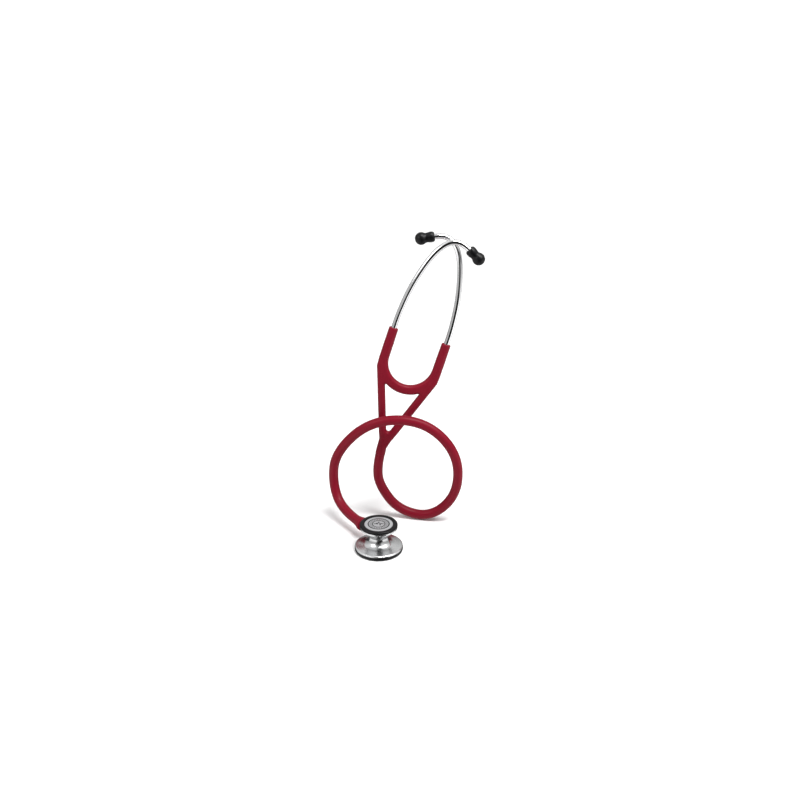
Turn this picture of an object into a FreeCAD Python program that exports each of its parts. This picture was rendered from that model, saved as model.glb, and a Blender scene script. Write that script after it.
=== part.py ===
import FreeCAD
import Part
import math
import os

# A stethoscope with a two-sided chestpiece, standing as it is set down: the chestpiece lies on its
# large diaphragm, the thick tube rises in a loop, and the headset stands in the loop's foot.
# Millimetres.  The origin is the centre of the large diaphragm's contact face, and +Z is up.

Vector = FreeCAD.Vector
UP = Vector(0, 0, 1)

# Chestpiece, measured from the large diaphragm's face upwards
head_height = 26.6             # face of the large diaphragm to face of the small one
large_diaphragm_radius = 20.2
small_diaphragm_radius = 13.0
diaphragm_thickness = 0.5
diaphragm_travel = 0.35        # a firm press pushes each diaphragm in this far
travel_clearance = 0.05
diaphragm_collar = 0.8         # width of the thicker band at a diaphragm's edge
collar_rise = 0.1
edge_gap = 0.2                 # between a diaphragm's edge and its rim
large_rim_band = 2.1           # from the diaphragm's edge to the outside of the rim
large_rim_height = 3.1
small_rim_band = 4.5
small_rim_height = 4.2
rim_recess = 0.4               # the large rim's lower edge clears the contact face by this much
rim_web = 0.5                  # the thin inner web of each rim, under its diaphragm
rim_web_width = 1.4
rim_bead = 0.5                 # depth of the bead that snaps into the body's groove
bead_height = 0.7
rim_fit = 0.02                 # between a rim and the body
seat_gap = 0.05                # between a rim's web and the body's edge
large_seat_width = 0.4         # the body's edge reaches this far past the diaphragm
small_seat_width = 1.2
flange_height = 1.0
flange_setback = 0.2           # a flange is this much smaller than its rim
small_flange_height = 0.6
neck_radius = 8.4
waist_flare = 3.6              # the neck widens by this much before it meets each flange
lower_flare_height = 2.8
upper_flare_height = 2.0
bell_inset = 1.5               # a bell's mouth is this much smaller than its diaphragm
large_bell_depth = 2.8
small_bell_depth = 2.0
channel_radius = 1.5           # sound channels in the body

# Valve stem, along its own axis from the middle of the neck outwards
stem_height = 14.0
stem_heading = 126.0           # degrees from +X, seen from above
shaft_radius = 3.05
running_clearance = 0.05       # between the shaft and its bore, and the ring and its groove
shaft_end_gap = 0.3
bore_gap = 0.1                 # round the stem's flange and the retaining ring
shaft_back = 6.2               # the shaft reaches this far past the neck's middle
flange_radius = 4.2
flange_start = 9.3
flange_width = 1.2
ring_width = 0.7
ring_groove_depth = 0.45
boss_radius = 5.4
boss_length = 12.0
stem_radius = 3.2
stem_air_radius = 1.5
port_radius = 1.3              # the stem's side port, open to the side in use
barb_radius = 2.9
barb_height = 0.35
barb_length = 1.8
barb_spacing = 3.2
barb_setback = 1.0             # the stem ends this far inside the cuff
ring_bore_gap = 0.15           # between the retaining ring and the stem
ring_slot = 2.0
seal_fit = 0.02
ball_gap = 0.05
seal_cord = 1.0                # thickness of the O-ring's section
seal_place = 5.6
ball_radius = 0.85
ball_place = 4.5               # behind the neck's middle
dimple_radius = 0.5            # two dimples in the bore, one for each side in use
dimple_depth = 0.25
ball_hole_floor = 0.4          # past the stem's axis
detent_spring_inset = 0.12
detent_spring_wall = 0.24

# Tube and its cuff
tube_diameter = 9.2
cuff_start = 25.5
cuff_length = 10.0
cuff_radius = 6.4
cuff_band = 2.5                # length of the cuff's full-width band
cuff_taper = 3.0
cuff_lip = 0.2                 # the cuff's thin end stands this far proud of the tube
cuff_round = 0.6

# Headset, in its own axes: X across, Y away from the wearer's face side, Z along the middle line
headset_lean = 18.0            # degrees, towards +X
headset_recline = 5.0          # degrees, towards +Y
foot = Vector(0.5, 62.0, 68.0)
arm_spacing = 51.0             # between the middles of the two arms
pivot_height = 94.6
sleeve_length = 27.4
sleeve_radius = 4.6            # where the arm is thickest, just above the knuckle
sleeve_foot_radius = 4.0       # narrower at the knuckle, so that the arm can swing out
sleeve_foot_rise = 4.5
sleeve_top_radius = 4.3
knuckle_radius = 4.5
knuckle_gap = 0.3
yoke_thickness = 8.2
yoke_round = 2.9               # rounding of the yoke's long edges
foot_radius = 5.0
foot_length = 16.0
foot_top_radius = 4.2
crotch_height = 24.5           # where the two legs part, and half the yoke's width there
crotch_half_width = 9.3
leg_width = 7.1                # between the outer edge and the triangular window
bar_height = 8.3               # between the U and the window
shoulder_inset = 1.4           # the straight outer edge of a leg ends this far inside the knuckle's side
shoulder_drop = 10.0           # and this far below the pivot
knuckle_drop = 3.0
plate_start = 5.0              # the flat yoke begins this far above the foot's face
window_round = 3.0
lumen_radius = 1.3
foot_lumen_offset = 2.1        # the two lumens lie side by side in the foot
spring_thickness = 0.6         # leaf spring moulded into the yoke's U
spring_width = 4.6
spring_cover = 1.0             # material between the spring and the inside of the U
spring_fit = 0.03
spring_end_angle = 6.0         # degrees that the spring stops short of the pivots

# Eartubes and ear tips
eartube_diameter = 5.0
eartube_wall = 0.8
eartube_offset = 6.0           # each eartube passes this far from the middle plane, so that the tips clear
eartube_socket_floor = 3.2     # above the knuckle's top
eartube_end_run = 8.0
tip_length = 18.0
tip_ball_radius = 5.75
tip_base_radius = 4.3
tip_bulge_radius = 4.9
tip_waist_radius = 4.55
tip_engagement = 6.0           # length of eartube inside the tip
tip_bore_radius = 1.5
core_wall = 0.9
core_length = 7.4
core_setback = 0.8             # the rubber covers the core's open end by this much
core_end_gap = 0.2
slide_clearance = 0.05

# Points of the tube's route, from the yoke's foot to the cuff; the last two lie on the stem's axis
route_body = [
    (0.5, 62.0, 68.0),
    (-2.5, 61.0, 54.0),
    (-0.5, 62.0, 35.0),
    (17.0, 62.0, 8.0),
    (49.5, 55.0, 2.5),
    (75.0, 48.0, 31.6),
    (74.0, 42.5, 78.0),
    (41.5, 45.5, 110.3),
    (-7.6, 50.5, 108.2),
    (-43.0, 64.0, 68.5),
    (-46.0, 64.5, 34.0),
]
last_run = 26.0
arc_share = 0.45               # each arc takes this share of its shorter run

# Points of an eartube's route: across from the middle, along from the sleeve's top, share of the
# offset.  They are those of the left arm, whose tube ends on the right.
eartube_route = [
    (15.0, -1.0, 0.0),
    (44.0, -0.88, 0.3),
    (74.5, -0.555, 0.85),
    (89.5, -0.18, 1.0),
    (93.4, 0.2, 1.0),
    (91.0, 0.56, 1.0),
]
tip_slope = 27.0               # degrees that the tips point down from straight across


def export(name, shape):
    os.makedirs("parts", exist_ok=True)
    solids = shape.Solids
    shape = solids[0] if len(solids) == 1 else Part.makeCompound(solids)
    shape.exportStep("parts/" + name + ".step")
    print(name, len(solids), "solid", round(shape.Volume / 1000.0, 3), "cm3", shape.isValid())


# Shapes used throughout

def turned(outline):
    """A solid of revolution about Z, from points (radius, height) with no hole at the axis left open."""
    points = [Vector(radius, 0, height) for radius, height in outline]
    wire = Part.makePolygon(points + [points[0]])
    return Part.Face(wire).revolve(Vector(0, 0, 0), UP, 360)


def disc(radius, bottom, top):
    return Part.makeCylinder(radius, top - bottom, Vector(0, 0, bottom))


def bar(start, end, radius):
    along = end - start
    return Part.makeCylinder(radius, along.Length, start, along)


def channel(points, radius):
    """A round channel through the points, with a ball at each bend."""
    pieces = [bar(a, b, radius) for a, b in zip(points, points[1:])]
    pieces += [Part.makeSphere(radius, point) for point in points[1:-1]]
    return pieces[0].multiFuse(pieces[1:])


def rounded_path(points, share):
    """Straight runs joined by tangent arcs; returns the wire, its radii and its length."""
    edges = []
    radii = []
    here = points[0]
    for before, corner, after in zip(points, points[1:], points[2:]):
        back = before - corner
        ahead = after - corner
        cut = share * min(back.Length, ahead.Length)
        back.normalize()
        ahead.normalize()
        half_turn = (math.pi - back.getAngle(ahead)) / 2
        radius = cut / math.tan(half_turn)
        arc_start = corner + back * cut
        arc_end = corner + ahead * cut
        inward = (back + ahead).normalize()
        arc_middle = corner + inward * (radius / math.cos(half_turn) - radius)
        edges.append(Part.LineSegment(here, arc_start).toShape())
        edges.append(Part.Arc(arc_start, arc_middle, arc_end).toShape())
        radii.append(radius)
        here = arc_end
    edges.append(Part.LineSegment(here, points[-1]).toShape())
    wire = Part.Wire(edges)
    return wire, radii, wire.Length


def swept(wire, start, direction, radius):
    profile = Part.Wire(Part.makeCircle(radius, start, direction))
    return wire.makePipeShell([profile], True, True)


# Chestpiece

def large_edge_radius():
    return large_diaphragm_radius + large_seat_width


def small_edge_radius():
    return small_diaphragm_radius + small_seat_width


def large_seat():
    """Height of the steel edge's lower face, on which the large rim's web lies."""
    return diaphragm_thickness + collar_rise + diaphragm_travel + travel_clearance + rim_web


def small_seat():
    return head_height - large_seat()


def large_rim_top():
    return rim_recess + large_rim_height


def small_rim_bottom():
    return head_height + rim_recess - small_rim_height


def flared_body():
    """The outside of the steel body: two flanges joined by a waisted neck."""
    large_flange = large_diaphragm_radius + large_rim_band - flange_setback
    small_flange = small_diaphragm_radius + small_rim_band - flange_setback
    lower_top = large_rim_top() + flange_height
    upper_bottom = small_rim_bottom() - small_flange_height
    flare = neck_radius + waist_flare
    waist_bottom = Vector(flare, 0, lower_top + lower_flare_height)
    waist = Vector(neck_radius, 0, stem_height)
    waist_top = Vector(flare, 0, upper_bottom - upper_flare_height)
    below = [(0, large_seat()), (large_edge_radius(), large_seat()), (large_edge_radius(), large_rim_top())]
    below += [(large_flange, large_rim_top()), (large_flange, lower_top)]
    below += [(large_flange - flange_height / 2, lower_top + flange_height / 2)]
    above = [(small_flange - small_flange_height, upper_bottom - small_flange_height)]
    above += [(small_flange, upper_bottom), (small_flange, small_rim_bottom())]
    above += [(small_edge_radius(), small_rim_bottom()), (small_edge_radius(), small_seat())]
    above.append((0, small_seat()))
    lower_points = [Vector(r, 0, z) for r, z in below] + [waist_bottom]
    upper_points = [waist_top] + [Vector(r, 0, z) for r, z in above]
    edges = Part.makePolygon(lower_points).Edges
    edges += [Part.Arc(waist_bottom, waist, waist_top).toShape()]
    edges += Part.makePolygon(upper_points + [lower_points[0]]).Edges
    return Part.Face(Part.Wire(edges)).revolve(Vector(0, 0, 0), UP, 360)


def along_stem(shape):
    """Turns a shape made along +Z, from the neck's middle, to lie along the stem."""
    shape.rotate(Vector(0, 0, 0), Vector(0, 1, 0), 90)
    shape.rotate(Vector(0, 0, 0), UP, stem_heading)
    shape.translate(Vector(0, 0, stem_height))
    return shape


def bead_ring(edge_radius, middle, inset, half_height):
    """A ring from inset inside an edge to a little outside it."""
    ring = disc(edge_radius + rim_bead, middle - half_height, middle + half_height)
    return ring.cut(disc(edge_radius - inset, middle - 1, middle + 1))


def large_groove_height():
    return (large_seat() + large_rim_top()) / 2


def small_groove_height():
    return (small_seat() + small_rim_bottom()) / 2


def bell(radius, mouth, seat, depth):
    """A shallow cone from a diaphragm's side of the body down to the sound channel."""
    floor = seat + depth
    return turned([(0, mouth), (radius - bell_inset, mouth), (radius - bell_inset, seat),
                   (channel_radius, floor), (0, floor)])


def stem_cuts():
    """The bore for the valve stem, its counterbore, the ring's groove and the click stop's dimples."""
    mouth = large_diaphragm_radius
    groove_radius = flange_radius + ring_groove_depth + bore_gap
    cuts = [disc(shaft_radius + running_clearance, -shaft_back - shaft_end_gap, mouth)]
    cuts.append(disc(flange_radius + bore_gap, flange_start - shaft_end_gap, mouth))
    ring_end = ring_start() + ring_width
    cuts.append(disc(groove_radius, ring_start() - running_clearance, ring_end + running_clearance))
    for side in (1, -1):
        inside = shaft_radius - dimple_depth
        reach = 2 * dimple_depth + running_clearance
        start = Vector(side * inside, 0, -ball_place)
        cuts.append(Part.makeCylinder(dimple_radius, reach, start, Vector(side, 0, 0)))
    return [along_stem(cut) for cut in cuts]


def chest_body():
    body = flared_body().fuse(along_stem(disc(boss_radius, 0, boss_length)))
    groove_half = bead_height / 2 + seat_gap
    cuts = [bell(large_diaphragm_radius, 0, large_seat(), large_bell_depth)]
    cuts.append(bell(small_diaphragm_radius, head_height, small_seat(), -small_bell_depth))
    cuts.append(disc(channel_radius, large_seat(), small_seat()))
    cuts.append(bead_ring(large_edge_radius(), large_groove_height(), rim_bead, groove_half))
    cuts.append(bead_ring(small_edge_radius(), small_groove_height(), rim_bead, groove_half))
    for cut in cuts + stem_cuts():
        body = body.cut(cut)
    return body


def rim_snap(edge_radius, middle):
    """The bead inside a rim that snaps into the body's groove."""
    return bead_ring(edge_radius, middle, rim_bead - seat_gap, bead_height / 2)


def large_rim():
    outer = large_diaphragm_radius + large_rim_band
    inner = large_diaphragm_radius + edge_gap
    on_body = large_edge_radius() + rim_fit
    web_inner = large_diaphragm_radius - rim_web_width
    web_top = large_seat() - seat_gap
    web_bottom = web_top - rim_web + seat_gap
    top = large_rim_top() - rim_fit
    outside = [(inner, rim_recess), (outer - large_rim_band / 3, rim_recess), (outer - 0.15, rim_recess + 0.6),
               (outer, rim_recess + 1.4), (outer, top - 0.5), (outer - 0.3, top)]
    inside = [(on_body, top), (on_body, web_top), (web_inner, web_top), (web_inner, web_bottom),
              (inner, web_bottom)]
    ring = turned(outside + inside)
    return ring.fuse(rim_snap(large_edge_radius(), large_groove_height()))


def small_rim():
    outer = small_diaphragm_radius + small_rim_band
    inner = small_diaphragm_radius + edge_gap
    on_body = small_edge_radius() + rim_fit
    web_inner = small_diaphragm_radius - rim_web_width
    web_bottom = small_seat() + seat_gap
    web_top = web_bottom + rim_web - seat_gap
    bottom = small_rim_bottom() + rim_fit
    top = head_height + rim_recess
    crown = small_rim_band / 3
    ring = turned([(inner, head_height - seat_gap), (inner + crown, top - 0.1), (outer - crown, top),
                   (outer - 0.6, top - 0.35), (outer - 0.1, top - 1.1), (outer, top - 2.0),
                   (outer, bottom + 0.6), (outer - 0.3, bottom), (on_body, bottom), (on_body, web_bottom),
                   (web_inner, web_bottom), (web_inner, web_top), (inner, web_top)])
    return ring.fuse(rim_snap(small_edge_radius(), small_groove_height()))


def diaphragm(radius, face, inward):
    """A thin disc with a thicker edge; inward is 1 or -1, the way from its face into the body."""
    back = face + inward * diaphragm_thickness
    collar_back = back + inward * collar_rise
    plate = disc(radius, min(face, back), max(face, back))
    collar = disc(radius, min(face, collar_back), max(face, collar_back))
    middle = disc(radius - diaphragm_collar, min(face, collar_back) - 1, max(face, collar_back) + 1)
    return plate.fuse(collar.cut(middle)).removeSplitter()


# Valve stem and what holds it

def ring_start():
    return flange_start + flange_width + bore_gap


def seal_middle_radius():
    return shaft_radius + seal_fit - seal_cord / 2


def seal_groove():
    half_width = seal_cord * 0.55
    floor = seal_middle_radius() - seal_cord / 2 - seal_fit
    groove = disc(stem_radius + 1, seal_place - half_width, seal_place + half_width)
    return groove.cut(disc(floor, 0, flange_start))


def valve_stem():
    barb_end = cuff_start + cuff_length - barb_setback
    flange_end = flange_start + flange_width
    outline = [(0, -shaft_back), (shaft_radius, -shaft_back), (shaft_radius, flange_start),
               (flange_radius, flange_start), (flange_radius, flange_end), (stem_radius, flange_end),
               (stem_radius, cuff_start), (barb_radius, cuff_start)]
    for place in (barb_end - barb_length - barb_spacing, barb_end - barb_length):
        outline.append((barb_radius, place))
        outline.append((barb_radius + barb_height, place))
        outline.append((barb_radius, place + barb_length))
    stem = turned(outline + [(0, barb_end)])
    side_port = Part.makeCylinder(port_radius, shaft_radius + 1, Vector(0, 0, 0), Vector(1, 0, 0))
    air = disc(stem_air_radius, -channel_radius, barb_end + 1)
    for cut in (air, side_port, seal_groove(), detent_hole()):
        stem = stem.cut(cut)
    return along_stem(stem)


def detent_hole():
    """A hole across the shaft for the ball and its spring, with a floor on the far side."""
    floor = Vector(ball_hole_floor, 0, -ball_place)
    depth = ball_hole_floor + shaft_radius + 1
    return Part.makeCylinder(ball_radius + ball_gap, depth, floor, Vector(-1, 0, 0))


def ball_middle():
    return ball_gap + ball_radius - shaft_radius


def detent_ball():
    return along_stem(Part.makeSphere(ball_radius, Vector(ball_middle(), 0, -ball_place)))


def detent_spring():
    """A tube in place of the small coil between the floor of the ball's hole and the ball."""
    outer = ball_radius - detent_spring_inset
    inner = outer - detent_spring_wall
    start = ball_middle() + math.sqrt(ball_radius ** 2 - inner ** 2) + seal_fit
    length = ball_hole_floor - seal_fit - start
    coil = Part.makeCylinder(outer, length, Vector(start, 0, -ball_place), Vector(1, 0, 0))
    coil = coil.cut(Part.makeCylinder(inner, length + 2, Vector(start - 1, 0, -ball_place), Vector(1, 0, 0)))
    return along_stem(coil)


def stem_seal():
    return along_stem(Part.makeTorus(seal_middle_radius(), seal_cord / 2, Vector(0, 0, seal_place)))


def retaining_ring():
    start = ring_start()
    inner = stem_radius + ring_bore_gap
    ring = disc(flange_radius + ring_groove_depth, start, start + ring_width)
    ring = ring.cut(disc(inner, start - 1, start + ring_width + 1))
    corner = Vector(inner - 1, -ring_slot / 2, start - ring_width)
    slot = Part.makeBox(flange_radius, ring_slot, 4 * ring_width, corner)
    return along_stem(ring.cut(slot))


# Tube

def stem_point(distance):
    heading = math.radians(stem_heading)
    return Vector(math.cos(heading) * distance, math.sin(heading) * distance, stem_height)


def tube_route():
    cuff_end = cuff_start + cuff_length
    points = [Vector(*point) for point in route_body]
    return points + [stem_point(cuff_end + last_run), stem_point(cuff_end)]


def tube_cuff():
    end_radius = tube_diameter / 2 + cuff_lip
    end = cuff_start + cuff_length
    band_end = cuff_start + cuff_band
    mid_radius = cuff_radius * 0.6 + end_radius * 0.4
    cuff = turned([(0, cuff_start), (cuff_radius - cuff_round, cuff_start),
                   (cuff_radius, cuff_start + cuff_round), (cuff_radius, band_end),
                   (mid_radius, band_end + cuff_taper),
                   (end_radius, end - cuff_round), (end_radius - cuff_lip / 2, end), (0, end)])
    air = disc(stem_air_radius, cuff_start, end)
    return along_stem(cuff.cut(air)).cut(valve_stem())


def main_tube():
    route = tube_route()
    wire, radii, length = rounded_path(route, arc_share)
    tube = swept(wire, route[0], route[1] - route[0], tube_diameter / 2)
    section = math.pi * (tube_diameter / 2) ** 2
    print("tube length", round(length, 1), "radii", [round(radius, 1) for radius in radii])
    print("tube volume over section times length", round(tube.Volume / (section * length), 5))
    return tube


# Headset

def in_headset(shape):
    """Moves a shape made in the headset's own axes to its place."""
    shape.rotate(Vector(0, 0, 0), Vector(0, 1, 0), headset_lean)
    shape.rotate(Vector(0, 0, 0), Vector(1, 0, 0), -headset_recline)
    shape.translate(foot)
    return shape


def to_headset(direction):
    """A world direction in the headset's own axes."""
    recline = FreeCAD.Rotation(Vector(1, 0, 0), -headset_recline)
    lean = FreeCAD.Rotation(Vector(0, 1, 0), headset_lean)
    return (recline * lean).inverted() * direction


def foot_axis():
    """The tube's direction where it leaves the yoke, pointing up into it, in the headset's axes."""
    route = tube_route()
    return to_headset(route[0] - route[1]).normalize()


def shoulder():
    """Where the leg's straight outer edge ends, just below the knuckle."""
    return arm_spacing / 2 + knuckle_radius - shoulder_inset, pivot_height - shoulder_drop


def side_outline():
    """The right half of the yoke's outer edge, from the foot up to the pivot's level."""
    outer = arm_spacing / 2 + knuckle_radius
    foot_half_width = foot_top_radius - 0.3
    stalk = [(foot_half_width, plate_start), (foot_half_width + 1.9, crotch_height / 2)]
    leg = [(crotch_half_width, crotch_height), shoulder()]
    return stalk + leg + [(outer, pivot_height - knuckle_drop), (outer, pivot_height)]


def yoke_blank():
    """The yoke's outline, with its U and its two knuckles, as a flat plate."""
    pivot = arm_spacing / 2
    side = [Vector(x, 0, z) for x, z in side_outline()]
    mirrored = [Vector(-point.x, 0, point.z) for point in reversed(side)]
    inner = pivot - knuckle_radius
    crown = pivot_height + knuckle_radius
    edges = Part.makePolygon(side).Edges
    edges.append(Part.Arc(side[-1], Vector(pivot, 0, crown), Vector(inner, 0, pivot_height)).toShape())
    edges.append(Part.Arc(Vector(inner, 0, pivot_height), Vector(0, 0, pivot_height - inner),
                          Vector(-inner, 0, pivot_height)).toShape())
    edges.append(Part.Arc(Vector(-inner, 0, pivot_height), Vector(-pivot, 0, crown), mirrored[0]).toShape())
    edges += Part.makePolygon(mirrored + [side[0]]).Edges
    face = Part.Face(Part.Wire(edges))
    plate = face.extrude(Vector(0, yoke_thickness, 0))
    plate.translate(Vector(0, -yoke_thickness / 2, 0))
    return plate


def window():
    """A triangle under the U, with each side parallel to its leg's outer edge."""
    edge_x, edge_z = shoulder()
    slope = (edge_x - crotch_half_width) / (edge_z - crotch_height)
    leg_across = leg_width * math.sqrt(1 + slope ** 2)
    top = pivot_height - (arm_spacing / 2 - knuckle_radius) - bar_height
    half_width = crotch_half_width + slope * (top - crotch_height) - leg_across
    corners = [(0, top - half_width / slope), (half_width, top), (-half_width, top)]
    points = [Vector(x, -yoke_thickness, z) for x, z in corners]
    hole = Part.Face(Part.makePolygon(points + [points[0]])).extrude(Vector(0, 2 * yoke_thickness, 0))
    upright = [edge for edge in hole.Edges if abs(edge.tangentAt(edge.FirstParameter).y) > 0.9]
    return hole.makeFillet(window_round, upright)


def rounded_plate(plate):
    """Rounds the long edges of both faces of the yoke."""
    half = yoke_thickness / 2
    rim_edges = []
    for edge in plate.Edges:
        box = edge.BoundBox
        if box.YLength < 0.01 and abs(abs(box.YMin) - half) < 0.01:
            rim_edges.append(edge)
    return plate.makeFillet(yoke_round, rim_edges)


def lumens():
    """The two sound channels, from the foot up each leg to the knuckles."""
    pivot = arm_spacing / 2
    cuts = []
    for side in (-1, 1):
        shoulder_x, shoulder_z = shoulder()
        points = [(pivot, pivot_height + knuckle_radius + 1), (shoulder_x - leg_width / 2, shoulder_z)]
        points.append((crotch_half_width - leg_width / 2, crotch_height))
        points.append((foot_lumen_offset, crotch_height / 2))
        lane = [Vector(side * x, 0, z) for x, z in points]
        lane.append(foot_axis() * -1.0 + Vector(side * foot_lumen_offset, 0, 0))
        cuts.append(channel(lane, lumen_radius))
    return cuts


def leaf_blank(grow):
    """The U-shaped spring strip, or its pocket when it is grown by a clearance."""
    inner = arm_spacing / 2 - knuckle_radius + spring_cover - grow
    outer = inner + spring_thickness + 2 * grow
    half_width = spring_width / 2 + grow
    ring = Part.makeCylinder(outer, 2 * half_width, Vector(0, -half_width, 0), Vector(0, 1, 0))
    hole = Part.makeCylinder(inner, 4 * half_width, Vector(0, -2 * half_width, 0), Vector(0, 1, 0))
    ring = ring.cut(hole)
    drop = inner * math.sin(math.radians(spring_end_angle)) - grow
    above = Part.makeBox(4 * outer, 4 * outer, 2 * outer, Vector(-2 * outer, -2 * outer, -drop))
    strip = ring.cut(above)
    strip.translate(Vector(0, 0, pivot_height))
    return strip


def yoke_body():
    plate = rounded_plate(yoke_blank().cut(window()))
    stalk = Part.makeCone(foot_radius, foot_top_radius, foot_length, Vector(0, 0, 0), foot_axis())
    body = plate.fuse(stalk)
    for cut in lumens():
        body = body.cut(cut)
    return in_headset(body.cut(leaf_blank(spring_fit)))


def leaf_spring():
    return in_headset(leaf_blank(0.0))


def arm_sleeve(side):
    """The moulded arm above a knuckle, which holds the eartube."""
    top = pivot_height + sleeve_length
    sleeve = turned([(0, pivot_height), (sleeve_foot_radius, pivot_height),
                     (sleeve_foot_radius, pivot_height + sleeve_foot_rise / 2),
                     (sleeve_radius, pivot_height + sleeve_foot_rise), (sleeve_top_radius, top - 0.8),
                     (sleeve_top_radius - 0.8, top), (0, top)])
    sleeve = sleeve.cut(disc(eartube_diameter / 2, eartube_foot(), top + 1))
    sleeve = sleeve.cut(disc(lumen_radius, pivot_height, eartube_foot() + 1))
    knuckle = Part.makeCylinder(knuckle_radius + knuckle_gap, 4 * knuckle_radius,
                                Vector(0, -2 * knuckle_radius, pivot_height), Vector(0, 1, 0))
    sleeve = sleeve.cut(knuckle)
    sleeve.translate(Vector(side * arm_spacing / 2, 0, 0))
    return in_headset(sleeve)


def eartube_foot():
    return pivot_height + knuckle_radius + eartube_socket_floor


# Eartubes and ear tips: side is -1 for the left arm and 1 for the right

def eartube_points(side):
    half_spacing = arm_spacing / 2
    top = pivot_height + sleeve_length
    points = [Vector(side * half_spacing, 0, eartube_foot())]
    for height, across, offset_share in eartube_route:
        offset = eartube_offset * offset_share
        points.append(Vector(-side * half_spacing * across, side * offset, top + height))
    points.append(points[-1] + tip_axis(side) * eartube_end_run)
    return points


def tip_axis(side):
    slope = math.radians(tip_slope)
    return Vector(-side * math.cos(slope), 0, -math.sin(slope))


def eartube(side):
    points = eartube_points(side)
    wire, radii, length = rounded_path(points, arc_share)
    print("eartube length", round(length, 1), "radii", [round(radius, 1) for radius in radii])
    outer = swept(wire, points[0], UP, eartube_diameter / 2)
    inner = swept(wire, points[0], UP, eartube_diameter / 2 - eartube_wall)
    return in_headset(outer.cut(inner))


def on_tip(side, shape):
    """Moves a shape made along +Z, from the tip's open end, onto its eartube."""
    axis = tip_axis(side)
    turn = FreeCAD.Rotation(UP, axis)
    start = eartube_points(side)[-1] - axis * tip_engagement
    shape.Placement = FreeCAD.Placement(start, turn)
    return in_headset(shape)


def core_blank():
    outer = eartube_diameter / 2 + slide_clearance + core_wall
    return disc(outer, core_setback, core_setback + core_length)


def tip_outline():
    """A bulged base, a slight waist and a ball, from the open end to the tip of the ball."""
    ball = tip_length - tip_ball_radius
    waist = ball * 0.62
    waist_point = Vector(tip_waist_radius, 0, waist)
    base_point = Vector(tip_base_radius, 0, 0)
    ball_foot = Vector(tip_waist_radius, 0, ball - math.sqrt(tip_ball_radius ** 2 - tip_waist_radius ** 2))
    edges = [Part.LineSegment(Vector(0, 0, 0), base_point).toShape()]
    edges.append(Part.Arc(base_point, Vector(tip_bulge_radius, 0, waist / 2), waist_point).toShape())
    edges.append(Part.LineSegment(waist_point, ball_foot).toShape())
    edges.append(Part.Arc(ball_foot, Vector(tip_ball_radius, 0, ball), Vector(0, 0, tip_length)).toShape())
    edges.append(Part.LineSegment(Vector(0, 0, tip_length), Vector(0, 0, 0)).toShape())
    return Part.Wire(edges)


def eartip(side):
    tip = Part.Face(tip_outline()).revolve(Vector(0, 0, 0), UP, 360)
    tip = tip.cut(disc(eartube_diameter / 2 + slide_clearance, -1, core_setback + 0.1))
    tip = tip.cut(disc(tip_bore_radius, 0, tip_length + 1))
    return on_tip(side, tip.cut(core_blank()))


def eartip_core(side):
    core = core_blank()
    core = core.cut(disc(eartube_diameter / 2 + slide_clearance, 0, tip_engagement + core_end_gap))
    return on_tip(side, core.cut(disc(tip_bore_radius, 0, tip_length)))


def build():
    export("chest_body", chest_body())
    export("large_diaphragm", diaphragm(large_diaphragm_radius, 0, 1))
    export("large_rim", large_rim())
    export("small_diaphragm", diaphragm(small_diaphragm_radius, head_height, -1))
    export("small_rim", small_rim())
    export("valve_stem", valve_stem())
    export("stem_seal", stem_seal())
    export("retaining_ring", retaining_ring())
    export("detent_ball", detent_ball())
    export("detent_spring", detent_spring())
    export("tube_cuff", tube_cuff())
    export("main_tube", main_tube())
    export("yoke_body", yoke_body())
    export("leaf_spring", leaf_spring())
    for name, side in (("left", -1), ("right", 1)):
        export(name + "_arm_sleeve", arm_sleeve(side))
        export(name + "_eartube", eartube(side))
        export(name + "_eartip", eartip(side))
        export(name + "_eartip_core", eartip_core(side))


build()
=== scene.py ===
import bpy
import math
from mathutils import Matrix, Vector


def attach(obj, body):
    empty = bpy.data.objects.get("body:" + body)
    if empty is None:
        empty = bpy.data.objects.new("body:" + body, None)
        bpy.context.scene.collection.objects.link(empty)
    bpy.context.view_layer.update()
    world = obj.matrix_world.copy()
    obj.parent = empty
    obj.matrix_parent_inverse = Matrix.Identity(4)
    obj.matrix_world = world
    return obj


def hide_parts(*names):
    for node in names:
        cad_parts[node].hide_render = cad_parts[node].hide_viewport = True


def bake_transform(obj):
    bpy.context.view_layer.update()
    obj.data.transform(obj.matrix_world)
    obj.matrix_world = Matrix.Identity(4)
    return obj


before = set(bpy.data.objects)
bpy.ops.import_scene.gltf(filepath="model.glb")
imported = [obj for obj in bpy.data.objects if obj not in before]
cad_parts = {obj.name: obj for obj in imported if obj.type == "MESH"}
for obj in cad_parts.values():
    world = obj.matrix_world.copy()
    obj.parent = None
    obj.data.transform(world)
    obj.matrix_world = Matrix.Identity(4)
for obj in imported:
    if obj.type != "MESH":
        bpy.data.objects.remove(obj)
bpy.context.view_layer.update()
scene = bpy.context.scene
scene.view_settings.view_transform = "Standard"
mm = 0.001


# Small tools for working as in the viewport

def leaveEditMode():
    if bpy.context.object and bpy.context.object.mode != "OBJECT":
        bpy.ops.object.mode_set(mode="OBJECT")


def pickOnly(*objs):
    leaveEditMode()
    bpy.ops.object.select_all(action="DESELECT")
    for obj in objs:
        obj.select_set(True)
    bpy.context.view_layer.objects.active = objs[0]


def freshStart():
    leaveEditMode()
    bpy.ops.object.select_all(action="DESELECT")


def placeAndApply(obj, placement):
    obj.matrix_world = placement
    pickOnly(obj)
    bpy.ops.object.transform_apply(location=True, rotation=True, scale=True)


def applyModifier(obj, kind, **settings):
    pickOnly(obj)
    bpy.ops.object.modifier_add(type=kind)
    modifier = obj.modifiers[-1]
    for key, value in settings.items():
        setattr(modifier, key, value)
    bpy.ops.object.modifier_apply(modifier=modifier.name)


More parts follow.
